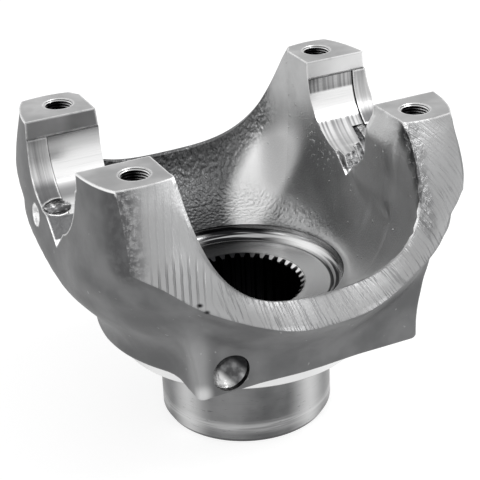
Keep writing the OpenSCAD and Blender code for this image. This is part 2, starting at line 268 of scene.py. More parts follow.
class Forging:
    """Surfaces of the forged blank.

    The formulas are those of the part's source. The fill of the right ear, the waves and the
    torn groove are added here.
    """

    # rows of points up the outside, up the band and down the bowl
    outer_rows, band_rows, bowl_rows = 26, 14, 26
    # columns of a quarter: the ear's side, the pad's end and the opening
    side, end, opening = 14, 8, 34
    # rows in the round under the block, and its radius
    round_rows, round_radius = 4, 2.2
    # times that the band's rows are evened out
    passes = 14
    # x where the trimmed pad end gives way to the opening
    turn_x = 66
    # how squarely the near and the far opening are rounded, 1 is an ellipse
    near_bend, far_bend = 0.77, 0.65
    # y where the ears' inner faces end
    inner_end = 50
    # how far the pads' ends, and the band below them, bow out
    end_bow, band_bow = 1.3, 2.8
    # drop of the bowl's rim below the band's inner edge, and how far it steps back at the pads
    lip_drop, lip_back = 0.8, 1.4
    # half of how far the bowl's wall swells inside the ears, and the angle where that ends
    swell, swell_end = 2.2, 70
    # widths of the soft blends: in the ears' flats, at the block's corners, from block to bowl
    flat_blend, corner_blend, block_blend = 4, 4, 5
    # height above which the base block plays no part
    block_end = 100
    # height of the ears' feet
    foot_height = 102
    # angle near which a column of points is drawn along the block's corner
    ridge_angle = 51
    # least distance from zero when a cosine or sine divides
    tiny = 0.001

    def __init__(self, n):
        self.n = n
        self.top = n.pad_height + n.pad_stock
        self.quarter = self.side + self.end + self.opening
        self.rim_row = self.outer_rows + self.band_rows
        self.rows = self.rim_row + self.bowl_rows + 3
        feet = [self.band_foot(i) for i in range(self.quarter + 1)]
        angles = [turn(p.y, p.x) for p in feet]
        self.ridge_column = min(angles, key=lambda a: abs(a - self.ridge_angle))

    def plan_power(self, z):
        """How square the plan is at a height: 2 is an ellipse."""
        shoulders = 2 + 0.75 * fade(z, 88, 106) + 0.95 * fade(z, 106, 117)
        return shoulders + 1.4 * fade(z, 114, 124) - 1.1 * fade(z, 130, 148)

    def half_x(self, z):
        return mix(self.n.belly_x, self.n.ear_outer, fade(z, 96, 146))

    def corner_at(self, z):
        """The ears' corner line, from their widest point up to the pads."""
        n = self.n
        t = clamp01((z - n.corner_height) / (n.pad_height - n.corner_height))
        return n.corner_x + 0.1 * t, mix(n.corner_y, n.pad_end + 0.4, t**1.6)

    def half_y(self, z):
        n = self.n
        zz = max(z, n.corner_height)
        (x, y), power = self.corner_at(zz), self.plan_power(zz)
        ear = y / (1 - (x / self.half_x(zz)) ** power) ** (1 / power)
        rise = clamp01((z - n.belly_height) / (n.corner_height - n.belly_height))
        return ear if z >= n.corner_height else mix(n.belly_y, ear, rise**1.2)

    def shell(self, a, z):
        """Radius of the ears and the bowl, with a flat in the middle of each ear."""
        flat = self.n.ear_flat / max(self.tiny, cos(a))
        return -smooth_max(-self.round(a, z), -flat, self.flat_blend)

    def round(self, a, z):
        n = self.n
        low = z < n.belly_height
        hx, hy = (n.belly_x, n.belly_y) if low else (self.half_x(z), self.half_y(z))
        power = self.plan_power(z)
        r = ((abs(cos(a)) / hx) ** power + (abs(sin(a)) / hy) ** power) ** (-1 / power)
        return mix(n.base_radius, r, fade(z, n.flare_height, n.belly_height)) if low else r

    def block_half(self, z):
        n = self.n
        return n.block_x + n.block_spread * fade(z, n.base_height + 8, n.block_top)

    def outer(self, a, z):
        """Radius of the whole outside: the shell, or the base block where that stands further out."""
        shell = self.shell(a, z)
        if z > self.block_end:
            return shell
        flat_x = self.block_half(z) / max(self.tiny, cos(a))
        flat_y = self.n.block_y / max(self.tiny, sin(a))
        return smooth_max(shell, -smooth_max(-flat_x, -flat_y, self.corner_blend), self.block_blend)

    def edge_y(self, x, z):
        """The y where the outside passes an x, found by halving the angle."""
        low, high = 0.0, 90.0
        for _ in range(30):
            a = (low + high) / 2
            if self.outer(a, z) * cos(a) > x:
                low = a
            else:
                high = a
        return self.outer(low, z) * sin(low)

    def lip_out(self, x):
        """How far the trim stands proud of the bowl below it."""
        left = self.n.corner_x - x
        return (1 + self.n.trim_lip * fade(left, 0, 30) * fade(x, 0, 20)) * fade(left, 0, 24)

    def trim_point(self, x):
        n = self.n
        z = n.band_low + (n.corner_height - n.band_low) * (x / n.corner_x) ** 1.7
        y = self.edge_y(x, z)
        s = 1 + self.lip_out(x) / math.hypot(x, y)
        return Vector((x * s, y * s, z))

    def open_edge(self, u, inset, drop, far):
        """A point of the opening's edge, from the pad's end at u = 0 to the lowest point at 1."""
        n = self.n
        half, low, bend = (
            (n.far_half, n.far_low, self.far_bend) if far else (n.near_half, n.near_low, self.near_bend)
        )
        c, s = max(0, cos(90 * u)) ** bend, max(0, sin(90 * u)) ** bend
        rise = n.pad_height - low
        z = n.pad_height + (n.pad_stock if u == 0 else 0) - rise * s
        y = mix(n.pad_end, n.open_out, sin(90 * clamp01((n.pad_height - z) / rise)))
        return Vector(((half - inset) * c, y - inset * s, z - drop * s))

    def shares(self, i):
        """How far a column is along the pad's end, and along the opening."""
        return clamp01((i - self.side) / self.end), max(0, (i - self.side - self.end) / self.opening)

    def band_foot(self, i):
        n = self.n
        end, opening = self.shares(i)
        if i <= self.side:
            a = turn(n.corner_y, n.corner_x) * i / self.side
            return polar(self.outer(a, n.corner_height), a, n.corner_height)
        if opening == 0:
            return self.trim_point(mix(n.corner_x, self.turn_x, end))
        return self.trim_point(self.turn_x * max(0, cos(90 * opening)) ** 0.8)

    def band_head(self, i, far):
        n = self.n
        end, opening = self.shares(i)
        if opening > 0:
            return self.open_edge(opening, 0, 0, far)
        x, y = self.corner_at(self.top)
        half = n.far_half if far else n.near_half
        bow = self.end_bow * sin(180 * end)
        return Vector((mix(x, half, end), mix(y, n.pad_end, end) + bow, self.top))

    def bowl_rim(self, i, far):
        n = self.n
        end, opening = self.shares(i)
        if i <= self.side:
            return Vector((n.ear_inner, self.inner_end * i / self.side, self.top))
        if opening > 0:
            return self.open_edge(opening, n.trim_lip, self.lip_drop, far)
        start = Vector((n.ear_inner, self.inner_end, self.top))
        stop = self.open_edge(0, n.trim_lip, self.lip_drop, far)
        return mix(start, stop, end) - Vector((0, self.lip_back * end, 0))

    def skirt_point(self, i, k, foot):
        """A point of the outside below the band, with a column drawn along the block's ridge."""
        n, arc = self.n, self.round_rows
        if k < arc:
            z = n.base_height + self.round_radius * (1 - cos(90 * k / arc))
            inset = self.round_radius * (1 - sin(90 * k / arc))
        else:
            z = mix(n.base_height + self.round_radius, foot.z, (k - arc) / (self.outer_rows - arc))
            inset = 0
        a, r = turn(foot.y, foot.x), self.ridge_column
        ridge, w = turn(n.block_y, self.block_half(z)), fade(foot.z - z, 0, 14)
        if a <= r:
            a *= 1 + (ridge / r - 1) * w
        else:
            a = 90 - (90 - a) * (1 + ((90 - ridge) / (90 - r) - 1) * w)
        lip = 0 if i <= self.side else self.lip_out(foot.x)
        return polar(self.outer(a, z) - inset + lip * hump(z, foot.z, 5), a, z)

    def band_point(self, i, t, foot, far):
        """A point of the ear's side or of the sheared band, from its foot at 0 to its head at 1."""
        if i > self.side:
            bow = self.band_bow * (1 - self.shares(i)[1])
            return mix(foot, self.band_head(i, far), t) + Vector((0.25, 1, 0)) * bow * 4 * t * (1 - t)
        z = mix(self.n.corner_height, self.top, t)
        x, y = self.corner_at(z)
        a = turn(y, x) * i / self.side
        return Vector((x, y, z)) if i == self.side else polar(self.shell(a, z), a, z)

    def point(self, i, k, far):
        n = self.n
        foot = self.band_foot(i)
        if k < self.outer_rows:
            return self.skirt_point(i, k, foot)
        if k <= self.rim_row:
            return self.band_point(i, (k - self.outer_rows) / self.band_rows, foot, far)
        k -= self.rim_row + 1
        rim = self.bowl_rim(i, far)
        e = turn(rim.y, rim.x)
        if k > self.bowl_rows:
            return polar(n.recess_radius - 1.5, e, n.recess_edge)
        t = 90 * k / self.bowl_rows
        swell = (1 + cos(180 * min(1, e / self.swell_end))) * self.swell * sin(2 * t)
        r = mix(n.recess_radius + 0.3, math.hypot(rim.x, rim.y), cos(t)) + swell
        return polar(r, e, mix(rim.z, n.recess_edge, sin(t)))

    def quarter_columns(self, far):
        """One quarter's columns of points, with the sheared band evened out along its cut."""
        columns = [[self.point(i, k, far) for k in range(self.rows)] for i in range(self.quarter + 1)]
        for _ in range(self.passes):
            before = [list(column) for column in columns]
            for i in range(self.side + 1, self.quarter):
                for k in range(self.outer_rows + 1, self.rim_row):
                    columns[i][k] = (before[i - 1][k] + 2 * before[i][k] + before[i + 1][k]) / 4
        return columns

    def ear_shift(self, p):
        """The left ear is thicker. The right one is drawn in outside, and its near half filled inside."""
        n, x, y = self.n, abs(p.x), abs(p.y)
        out, inside, top = fade(x, 66, 78), fade(x, 62, 56), n.pad_height
        if p.x > 0:
            drawn_in = n.right_in * fade(p.z, n.corner_height, top)
            drawn_in += n.right_waist * hump(p.z, self.foot_height, 9)
            fill = fade(p.z, top, top - 9) * fade(p.z, 98, 110) * fade(p.y, -4, -16)
            fill *= n.right_fill * inside * fade(p.y, -54, -46) * (1 + 0.6 * fade(p.z, 122, 134))
            return -out * drawn_in - fill
        inward = inside * fade(p.z, top, top - 8) * fade(p.z, 100, 114)
        outward = n.left_out * fade(p.z, 78, 98) + n.left_bulge * hump(p.z, self.foot_height, 13)
        outward *= out * fade(y, 5, 30)
        return n.left_in * inward * fade(y, 58, 48) - outward

    def uneven(self, p, k):
        """The forging's slight waves, and the torn groove under the near right rim."""
        away = Vector((p.x, p.y, 0)).normalized()
        rim = self.rim_row
        if k == rim or k >= self.rows - 4 or p.z > self.n.pad_height - 1:
            return p
        wave = 0.2 * noise.noise(p * 0.06) + 0.08 * noise.noise(p * 0.17) - 0.2
        inner, outer = fade(k, rim, rim + 1.5) * fade(k, rim + 5, rim + 2), 0.25 * fade(k, rim - 5, rim - 1)
        torn = inner if k > rim else outer
        torn *= fade(p.x, 0, 20) * fade(-p.y, 0, 20) * fade(p.z, 92, 106)
        ragged = 1.2 + 1.2 * noise.noise(p * 0.45)
        return p + away * (wave + torn * ragged)

    def whole(self):
        """Every column round the blank, quarter by quarter from +X over +Y."""
        sides = [self.quarter_columns(far) for far in (0, 1)]
        columns = []
        for j in range(4 * self.quarter + 1):
            q, i = (j // self.quarter) % 4, j % self.quarter
            column = sides[1 if q < 2 else 0][i if q % 2 == 0 else self.quarter - i]
            sign = Vector((1 if q in (0, 3) else -1, 1 if q < 2 else -1, 1))
            placed = [p * sign for p in column]
            placed = [p + Vector((self.ear_shift(p), 0, 0)) for p in placed]
            columns.append([self.uneven(p, k) for k, p in enumerate(placed)])
        return columns


# Mesh helpers


def new_piece(name, bm, finish=None):
    """A mesh object from a bmesh in millimetres, with every finish in its slots."""
    if finish is not None:
        for face in bm.faces:
            face.material_index = FINISHES.index(finish)
    bmesh.ops.scale(bm, vec=(MM, MM, MM), verts=bm.verts)
    mesh = bpy.data.meshes.new(name)
    bm.to_mesh(mesh)
    bm.free()
    for label in FINISHES:
        mesh.materials.append(bpy.data.materials.get(label) or bpy.data.materials.new(label))
    piece = bpy.data.objects.new(name, mesh)
    bpy.context.scene.collection.objects.link(piece)
    return piece


def carve(piece, tool, operation="DIFFERENCE"):
    """Joins a tool's solid to the piece or takes it away, then removes the tool."""
    cut = piece.modifiers.new("cut", "BOOLEAN")
    cut.operation, cut.solver, cut.object = operation, "EXACT", tool
    graph = bpy.context.evaluated_depsgraph_get()
    made = bpy.data.meshes.new_from_object(piece.evaluated_get(graph))
    piece.modifiers.clear()
    spent = [piece.data, tool.data]
    piece.data = made
    made.name = piece.name
    bpy.data.objects.remove(tool)
    for mesh in spent:
        bpy.data.meshes.remove(mesh)
    if not made.polygons:
        raise RuntimeError("a cut left nothing of the yoke")


def yoke_piece():
    piece = bpy.data.objects.get("forged_yoke")
    if piece is None:
        raise RuntimeError("forge the blank first")
    return piece


def close_ends(bm):
    """Fills the open ends and turns all faces outwards."""
    bmesh.ops.holes_fill(bm, edges=[e for e in bm.edges if e.is_boundary])
    bmesh.ops.recalc_face_normals(bm, faces=bm.faces)


def outline(bm, points):
    """A wire loop through points, as edges."""
    verts = [bm.verts.new(p) for p in points]
    return [bm.edges.new(pair) for pair in zip(verts, verts[1:] + verts[:1])]


def prism(points, vector):
    """A solid: one flat outline pulled along a vector."""
    bm = bmesh.new()
    edges = outline(bm, points)
    face = bmesh.ops.contextual_create(bm, geom=edges)["faces"][0]
    pulled = bmesh.ops.extrude_face_region(bm, geom=[face], use_keep_orig=True)
    verts = [g for g in pulled["geom"] if isinstance(g, bmesh.types.BMVert)]
    bmesh.ops.translate(bm, verts=verts, vec=vector)
    bmesh.ops.recalc_face_normals(bm, faces=bm.faces)
    return bm


def lathe(profile, steps=160):
    """A solid turned about Z from (radius, height) pairs that start and end on the axis."""
    bm = bmesh.new()
    verts = [bm.verts.new((r, 0, z)) for r, z in profile]
    edges = [bm.edges.new(pair) for pair in zip(verts, verts[1:])]
    bmesh.ops.spin(
        bm, geom=verts + edges, cent=(0, 0, 0), axis=(0, 0, 1), angle=math.tau,
        steps=steps, use_merge=True,
    )
    bmesh.ops.remove_doubles(bm, verts=bm.verts, dist=WELD)
    bmesh.ops.recalc_face_normals(bm, faces=bm.faces)
    return bm


# Operators: the forging and its machining


# how far the cutting tools reach from the hub axis
REACH = 110
# slope of the notch's flanks, in degrees
RELIEF_SLOPE = 44
# how wide the notch is torn along X: places and shares of its plain width
NOTCH_STATIONS = (
    (0.0, 1.0), (56.6, 1.0), (57.2, 0.6), (60.5, 0.68), (64.0, 0.78), (64.8, 1.0),
    (69.3, 1.1), (69.8, 1.4), (72.4, 1.45), (76.0, 1.3),
)
# the pocket and the scoop torn out at the left seat's foot: centres and radii
TORN_SPOTS = (
    ((-78.8, 12.6, 115.2), (7.4, 4.6, 4.2)),
    ((-87.4, 21.0, 109.0), (1.8, 3.8, 5.4)),
)
# width and height of the round between the recess's floor and its wall
RECESS_ROUND = (6.3, 4.4)


class YOKE_OT_forge(bpy.types.Operator):
    """Forges the blank: skirt, block, ears, sheared band and bowl"""

    bl_idname = "yoke.forge"
    bl_label = "Forge the blank"

    def execute(self, context):
        form = Forging(millimetres())
        bm = bmesh.new()
        across, along = 4 * form.quarter, form.rows - 1
        bmesh.ops.create_grid(bm, x_segments=across, y_segments=along, size=0.5)
        band, bowl = FINISHES.index("sheared_band"), FINISHES.index("forged_bowl")
        for face in bm.faces:
            mid = face.calc_center_median()
            j, k = (mid.x + 0.5) * across, (mid.y + 0.5) * along
            i = min(j % (2 * form.quarter), 2 * form.quarter - j % (2 * form.quarter))
            if k > form.rim_row:
                face.material_index = bowl
            elif i > form.side and k > form.outer_rows:
                face.material_index = band
        columns = form.whole()
        for v in bm.verts:
            v.co = columns[round((v.co.x + 0.5) * across)][round((v.co.y + 0.5) * along)]
        bmesh.ops.remove_doubles(bm, verts=bm.verts, dist=WELD)
        close_ends(bm)
        new_piece("forged_yoke", bm)
        return {"FINISHED"}


class YOKE_OT_turn_hub(bpy.types.Operator):
    """Adds the turned hub and shoulder under the forging"""

    bl_idname = "yoke.turn_hub"
    bl_label = "Turn the hub"

    def execute(self, context):
        n = millimetres()
        inside, fillet = n.base_height + 4, 2
        bm = lathe([
            (0, 0), (n.hub_radius - n.hub_bevel, 0), (n.hub_radius, n.hub_bevel * 1.7),
            (n.hub_radius, n.shoulder_low - fillet), (n.hub_radius + 0.5, n.shoulder_low - 0.6),
            (n.hub_radius + fillet, n.shoulder_low),
            (n.shoulder_radius - 1, n.shoulder_low), (n.shoulder_radius, n.shoulder_low + 1),
            (n.shoulder_radius, inside), (0, inside),
        ])
        carve(yoke_piece(), new_piece("tool", bm, "turned_hub"), "UNION")
        return {"FINISHED"}


class YOKE_OT_mill_pads(bpy.types.Operator):
    """Mills the four pads flat"""

    bl_idname = "yoke.mill_pads"
    bl_label = "Mill the pads"

    def execute(self, context):
        plan = ((-REACH, -REACH), (REACH, -REACH), (REACH, REACH), (-REACH, REACH))
        corners = [Vector((x, y, millimetres().pad_height)) for x, y in plan]
        bm = prism(corners, Vector((0, 0, 20)))
        carve(yoke_piece(), new_piece("tool", bm, "milled_pad"))
        return {"FINISHED"}


class YOKE_OT_bore_seats(bpy.types.Operator):
    """Mills the channel, bores the stops and seats and cuts the notch below"""

    bl_idname = "yoke.bore_seats"
    bl_label = "Bore the seats"

    def execute(self, context):
        n = millimetres()
        axis = n.pad_height - n.seat_drop
        wall, roof, steps = n.wall_gap / 2, n.pad_height + 12, 72
        piece = yoke_piece()

        def cut(points, half, finish):
            bm = prism([Vector((-half, y, z)) for y, z in points], Vector((2 * half, 0, 0)))
            carve(piece, new_piece("tool", bm, finish))

        def half_round(radius):
            angles = [180 * k / steps for k in range(steps + 1)]
            arc = [(radius * cos(a), axis - radius * sin(a)) for a in angles]
            return arc + [(-radius, roof), (radius, roof)]

        cut([(-wall, axis), (wall, axis), (wall, roof), (-wall, roof)], REACH, "milled_pad")
        cut(half_round(n.stop_radius), REACH, "bored_stop")
        cut(half_round(n.seat_radius), n.stop_gap / 2, "bored_seat")
        carve(piece, new_piece("tool", self.notch(n), "torn_relief"))
        for centre, radii in TORN_SPOTS:
            carve(piece, new_piece("tool", self.torn_spot(centre, radii), "torn_relief"))
        return {"FINISHED"}

    def notch(self, n):
        """The forged notch, torn wider and narrower where the seat broke into it."""
        bm = bmesh.new()
        flank = n.seat_radius / 2
        roof = n.relief_tip + flank * sin(RELIEF_SLOPE) / cos(RELIEF_SLOPE)
        loops = []
        for x, share in ((-REACH, 1.0), *NOTCH_STATIONS, (REACH, 1.1)):
            points = [(x, -flank, roof), (x, 0, n.relief_tip), (x, flank * share, roof)]
            loops.append(outline(bm, [Vector(p) for p in points]))
        for first, second in zip(loops, loops[1:]):
            bmesh.ops.bridge_loops(bm, edges=first + second)
        close_ends(bm)
        return bm

    def torn_spot(self, centre, radii):
        bm = bmesh.new()
        bmesh.ops.create_uvsphere(bm, u_segments=28, v_segments=18, radius=1)
        for v in bm.verts:
            v.co = Vector(a * b for a, b in zip(v.co, radii)) * (1 + 0.12 * noise.noise(v.co * 2.3))
        bmesh.ops.translate(bm, verts=bm.verts, vec=centre)
        return bm


class YOKE_OT_tap_holes(bpy.types.Operator):
    """Drills and taps the four holes in the pads"""

    bl_idname = "yoke.tap_holes"
    bl_label = "Tap the holes"

    def execute(self, context):
        n = millimetres()
        piece = yoke_piece()
        for sx in (-1, 1):
            for sy in (-1, 1):
                place = Vector((sx * n.hole_gap_x / 2, sy * n.hole_gap_y / 2, 0))
                for bm, finish in ((self.thread(n), "cut_thread"), (self.mouth(n), "milled_pad")):
                    bmesh.ops.translate(bm, verts=bm.verts, vec=place)
                    carve(piece, new_piece("tool", bm, finish))
        return {"FINISHED"}

    def thread(self, n):
        """The solid that a tapped hole takes away: one profile of grooves, turned and raised by a pitch."""
        crest, root, pitch = n.hole_radius, n.hole_radius + n.thread_depth, n.thread_pitch
        # heights in one groove where the crest ends and the root begins and ends
        crest_end, root_start, root_end = 0.18 * pitch, 0.54 * pitch, 0.64 * pitch
        low = n.pad_height - n.hole_depth - 0.5 * pitch
        steps, turns = 48, int(n.hole_depth / pitch) + 2
        profile = []
        for k in range(turns):
            z = low + k * pitch
            profile += [(crest, z), (crest, z + crest_end), (root, z + root_start), (root, z + root_end)]
        profile.append((crest, low + turns * pitch))
        bm = bmesh.new()
        verts = [bm.verts.new((r, 0, z)) for r, z in profile]
        edges = [bm.edges.new(pair) for pair in zip(verts, verts[1:])]
        bmesh.ops.spin(
            bm, geom=verts + edges, cent=(0, 0, 0), axis=(0, 0, 1), angle=math.tau,
            dvec=(0, 0, pitch / steps), steps=steps, use_merge=False,
        )
        bmesh.ops.remove_doubles(bm, verts=bm.verts, dist=WELD)
        close_ends(bm)
        return bm

    def mouth(self, n):
        """The bevel in a hole's mouth."""
        deep, over, mouth = 1.2, 2, n.hole_radius + 0.85
        low, high = n.pad_height - deep, n.pad_height + over
        return lathe([(0, low), (mouth - deep, low), (mouth + over, high), (0, high)], 64)


class YOKE_OT_turn_recess(bpy.types.Operator):
    """Turns the nut recess, cuts the splines and the bevels at their ends"""

    bl_idname = "yoke.turn_recess"
    bl_label = "Turn the recess"

    def execute(self, context):
        n = millimetres()
        wide, high = RECESS_ROUND
        flat, floor, over, steps = n.recess_radius - wide, n.recess_floor, n.recess_edge + 1, 12
        groove = [
            (mix(flat, n.recess_radius, sin(90 * k / steps)), floor + high * (1 - cos(90 * k / steps)))
            for k in range(1, steps + 1)
        ]
        recess = [(0, floor), (flat, floor)] + groove + [(n.recess_radius, over), (0, over)]
        inner, mouth = n.tooth_tip_radius - 0.4, n.tooth_root_radius + 0.9
        for bm, finish in (
            (lathe(recess), "turned_recess"),
            (prism(self.teeth(n), Vector((0, 0, floor + 2))), "broached_spline"),
            (lathe([(0, floor - 1.6), (inner, floor - 1.6), (mouth, floor + 0.5), (0, floor + 0.5)]),
             "broached_spline"),
            (lathe([(0, -0.5), (mouth + 0.2, -0.5), (inner, 2.1), (0, 2.1)]), "turned_hub"),
        ):
            carve(yoke_piece(), new_piece("tool", bm, finish))
        return {"FINISHED"}

    def teeth(self, n):
        """The broach's outline: a tooth's flanks lie between these shares of half a pitch."""
        half, tip_share, root_share = 180 / n.tooth_count, 0.72, 0.42
        tip, root = n.tooth_tip_radius, n.tooth_root_radius
        flanks = ((tip, -tip_share), (root, -root_share), (root, root_share), (tip, tip_share))
        return [polar(r, half * (2 * t + a), -1) for t in range(n.tooth_count) for r, a in flanks]


class YOKE_OT_drill_spot(bpy.types.Operator):
    """Drills the balance spot into the block's front"""

    bl_idname = "yoke.drill_spot"
    bl_label = "Drill the balance spot"

    def execute(self, context):
        n = millimetres()
        # the drill's cone: shares of its radius and depths below the straight wall
        cone = ((0.86, 1.4), (0.5, 3.4), (0.2, 4.4), (0, 4.7))
        bm = lathe([(0, -10), (n.spot_radius, -10), (n.spot_radius, n.spot_depth)] + [
            (n.spot_radius * share, n.spot_depth + deep) for share, deep in cone
        ], 72)
        bmesh.ops.rotate(bm, verts=bm.verts, matrix=Matrix.Rotation(math.radians(-90), 3, "X"))
        bmesh.ops.translate(bm, verts=bm.verts, vec=(n.spot_x, -n.block_y, n.spot_z))
        carve(yoke_piece(), new_piece("tool", bm, "drilled_spot"))
        return {"FINISHED"}


class YOKE_OT_finish_edges(bpy.types.Operator):
    """Cleans the mesh, smooths its faces and marks its sharp edges"""

    bl_idname = "yoke.finish_edges"
    bl_label = "Finish the edges"

    def execute(self, context):
        smallest, sharpest_smooth = 0.02 * MM, math.radians(32)
        piece = yoke_piece()
        bm = bmesh.new()
        bm.from_mesh(piece.data)
        bmesh.ops.dissolve_degenerate(bm, dist=smallest, edges=bm.edges)
        for face in bm.faces:
            face.smooth = True
        for edge in bm.edges:
            edge.smooth = edge.calc_face_angle(math.pi) < sharpest_smooth
        bm.to_mesh(piece.data)
        bm.free()
        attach(piece, "root")
        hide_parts(NODE)
        return {"FINISHED"}


# Finishes


class Nodes:
    """Short calls for the nodes of one tree, with its place in millimetres."""

    def __init__(self, tree, place=None):
        self.tree, self.place = tree, place

    def feed(self, socket, source):
        """Links a socket, or sets a number, a vector or a colour on it."""
        if isinstance(source, bpy.types.NodeSocket):
            self.tree.links.new(source, socket)
        else:
            socket.default_value = (*source, 1) if socket.type == "RGBA" else source

    def add(self, kind, *sources, **settings):
        """A node with its settings, its inputs fed in order. None leaves one alone."""
        node = self.tree.nodes.new(kind)
        for key, value in settings.items():
            setattr(node, key, value)
        for socket, source in zip(node.inputs, sources):
            if source is not None:
                self.feed(socket, source)
        return node

    def group(self, group, place=None):
        place = self.place if place is None else place
        return self.add("ShaderNodeGroup", place, node_tree=group).outputs

    def math(self, operation, *sources):
        return self.add("ShaderNodeMath", *sources, operation=operation).outputs[0]

    def vector(self, operation, *sources):
        return self.add("ShaderNodeVectorMath", *sources, operation=operation).outputs

    def axes(self):
        return self.add("ShaderNodeSeparateXYZ", self.place).outputs

    def scaled(self, vector, factors):
        return self.vector("MULTIPLY", vector, factors)[0]

    def combined(self, x, y, z=0.0):
        return self.add("ShaderNodeCombineXYZ", x, y, z).outputs[0]

    def times(self, *values):
        return reduce(lambda a, b: self.math("MULTIPLY", a, b), values)

    def either(self, *masks):
        return reduce(lambda a, b: self.math("MAXIMUM", a, b), masks)

    def weighed(self, *pairs):
        """Adds up pairs of a weight and a value."""
        parts = [self.times(value, weight) for weight, value in pairs]
        return reduce(lambda a, b: self.math("ADD", a, b), parts)

    def noise(self, scale, detail=2.0, roughness=0.5, vector=None):
        node = self.add("ShaderNodeTexNoise", self.place if vector is None else vector)
        for label, value in (("Scale", scale), ("Detail", detail), ("Roughness", roughness)):
            node.inputs[label].default_value = value
        return node.outputs["Fac"]

    def ramp(self, value, low, high, to_low=0.0, to_high=1.0):
        """Eases from one value at the low limit to another at the high one, which may lie below it."""
        node = self.add("ShaderNodeMapRange", value, low, high, to_low, to_high)
        node.interpolation_type = "SMOOTHSTEP"
        return node.outputs[0]

    def mix(self, share, first, second):
        not_colours = [None] * 5
        return self.add("ShaderNodeMix", share, *not_colours, first, second, data_type="RGBA").outputs[2]

    def bell(self, value, centre, width):
        """1 at the centre, 0 beyond the width on either side."""
        return self.ramp(self.math("ABSOLUTE", self.math("SUBTRACT", value, centre)), width, 0.0)

    def bells(self, value, centres, width):
        return self.either(*(self.bell(value, centre, width) for centre in centres))

    def blob(self, centre, radii, edge=0.5):
        """A soft ellipsoid: 1 inside, 0 outside."""
        off = self.vector("SUBTRACT", self.place, centre)[0]
        far = self.vector("LENGTH", self.scaled(off, tuple(1 / r for r in radii)))["Value"]
        return self.ramp(far, 1 + edge, 1 - edge)

    def blobs(self, centres, radii, edge):
        return self.either(*(self.blob(centre, radii, edge) for centre in centres))

    def degrees(self, x, y):
        """The angle of a direction in the plan, from -180 to 180."""
        return self.times(self.math("ARCTAN2", y, x), 180 / math.pi)


class Finish(Nodes):
    """An emptied material with its shader, and the tone that its coats build up."""

    def __init__(self, label, roughness):
        material = bpy.data.materials.get(label) or bpy.data.materials.new(label)
        material.use_nodes = True
        material.node_tree.nodes.clear()
        super().__init__(material.node_tree)
        self.shader = self.add("ShaderNodeBsdfPrincipled")
        self.shader.inputs["Roughness"].default_value = roughness
        self.shader.inputs["Metallic"].default_value = 1.0
        self.add("ShaderNodeOutputMaterial", self.shader.outputs[0])
        metres = self.add("ShaderNodeTexCoord").outputs["Object"]
        self.place = self.scaled(metres, (1 / MM, 1 / MM, 1 / MM))
        self.x, self.y, self.z = self.axes()
        self.tone = None

    def azimuth(self):
        """The angle round the hub axis."""
        return self.degrees(self.x, self.y)

    def coat(self, colour, *masks):
        """Lays a colour over the tone where every mask is 1."""
        self.tone = self.mix(self.times(*masks), self.tone, colour)

    def put(self, name, socket):
        self.tree.links.new(socket, self.shader.inputs[name])

    def close(self, height=None, depth=0.0, strength=1.0):
        """Gives the shader its tone and, where there is one, a relief of a depth in millimetres."""
        self.put("Base Color", self.tone)
        if height is not None:
            relief = self.add("ShaderNodeBump")
            relief.inputs["Strength"].default_value = strength
            relief.inputs["Distance"].default_value = depth * MM
            self.feed(relief.inputs["Height"], height)
            self.put("Normal", relief.outputs["Normal"])


def shared_group(name, outputs, build):
    """A node group that turns a place in millimetres into masks and heights."""
    tree = bpy.data.node_groups.get(name)
    if tree is not None:
        return tree
    tree = bpy.data.node_groups.new(name, "ShaderNodeTree")
    tree.interface.new_socket("Place", in_out="INPUT", socket_type="NodeSocketVector")
    for label in outputs:
        tree.interface.new_socket(label, in_out="OUTPUT", socket_type="NodeSocketFloat")
    g = Nodes(tree, tree.nodes.new("NodeGroupInput").outputs["Place"])
    g.add("NodeGroupOutput", *build(g))
    return tree


def edge_light_and_shade():
    """1 on a narrow band along sharp edges, uneven along them: where the finishes paint highlights and, in
    a few places, lines of shade.
    """

    def build(g):
        soft = g.add("ShaderNodeBevel", 1.4 * MM, samples=6).outputs[0]
        flat = g.add("ShaderNodeNewGeometry").outputs["True Normal"]
        same = g.vector("DOT_PRODUCT", soft, flat)["Value"]
        unevenness = g.ramp(g.noise(0.25, 2, 0.6), 0.25, 0.55, 0.5, 1.0)
        return (g.times(g.ramp(same, 0.994, 0.95), unevenness),)

    return shared_group("edge_light_and_shade", ("Edge",), build)


def forging_grain():
    """Clouds, fine grain and a few raised specks of a blasted forging."""

    def build(g):
        cloud = g.noise(0.045, 3, 0.55)
        grain = g.noise(1.1, 3, 0.6)
        speck = g.ramp(g.noise(0.32, 1, 0.4), 0.74, 0.8)
        return cloud, grain, speck

    return shared_group("forging_grain", ("Cloud", "Grain", "Speck"), build)


def tool_streaks():
    """Fine parallel lines along X of the place that comes in, with broader ones between."""

    def build(g):
        fine = g.noise(1.0, 3, 0.6, g.scaled(g.place, (0.03, 3.2, 3.2)))
        broad = g.noise(1.0, 2, 0.5, g.scaled(g.place, (0.02, 0.7, 0.7)))
        return fine, broad

    return shared_group("tool_streaks", ("Fine", "Broad"), build)


def edge_light_and_shade_mask(f):
    """1 along a finish's sharp edges, for their painted highlights and painted shade lines."""
    return f.group(edge_light_and_shade())["Edge"]


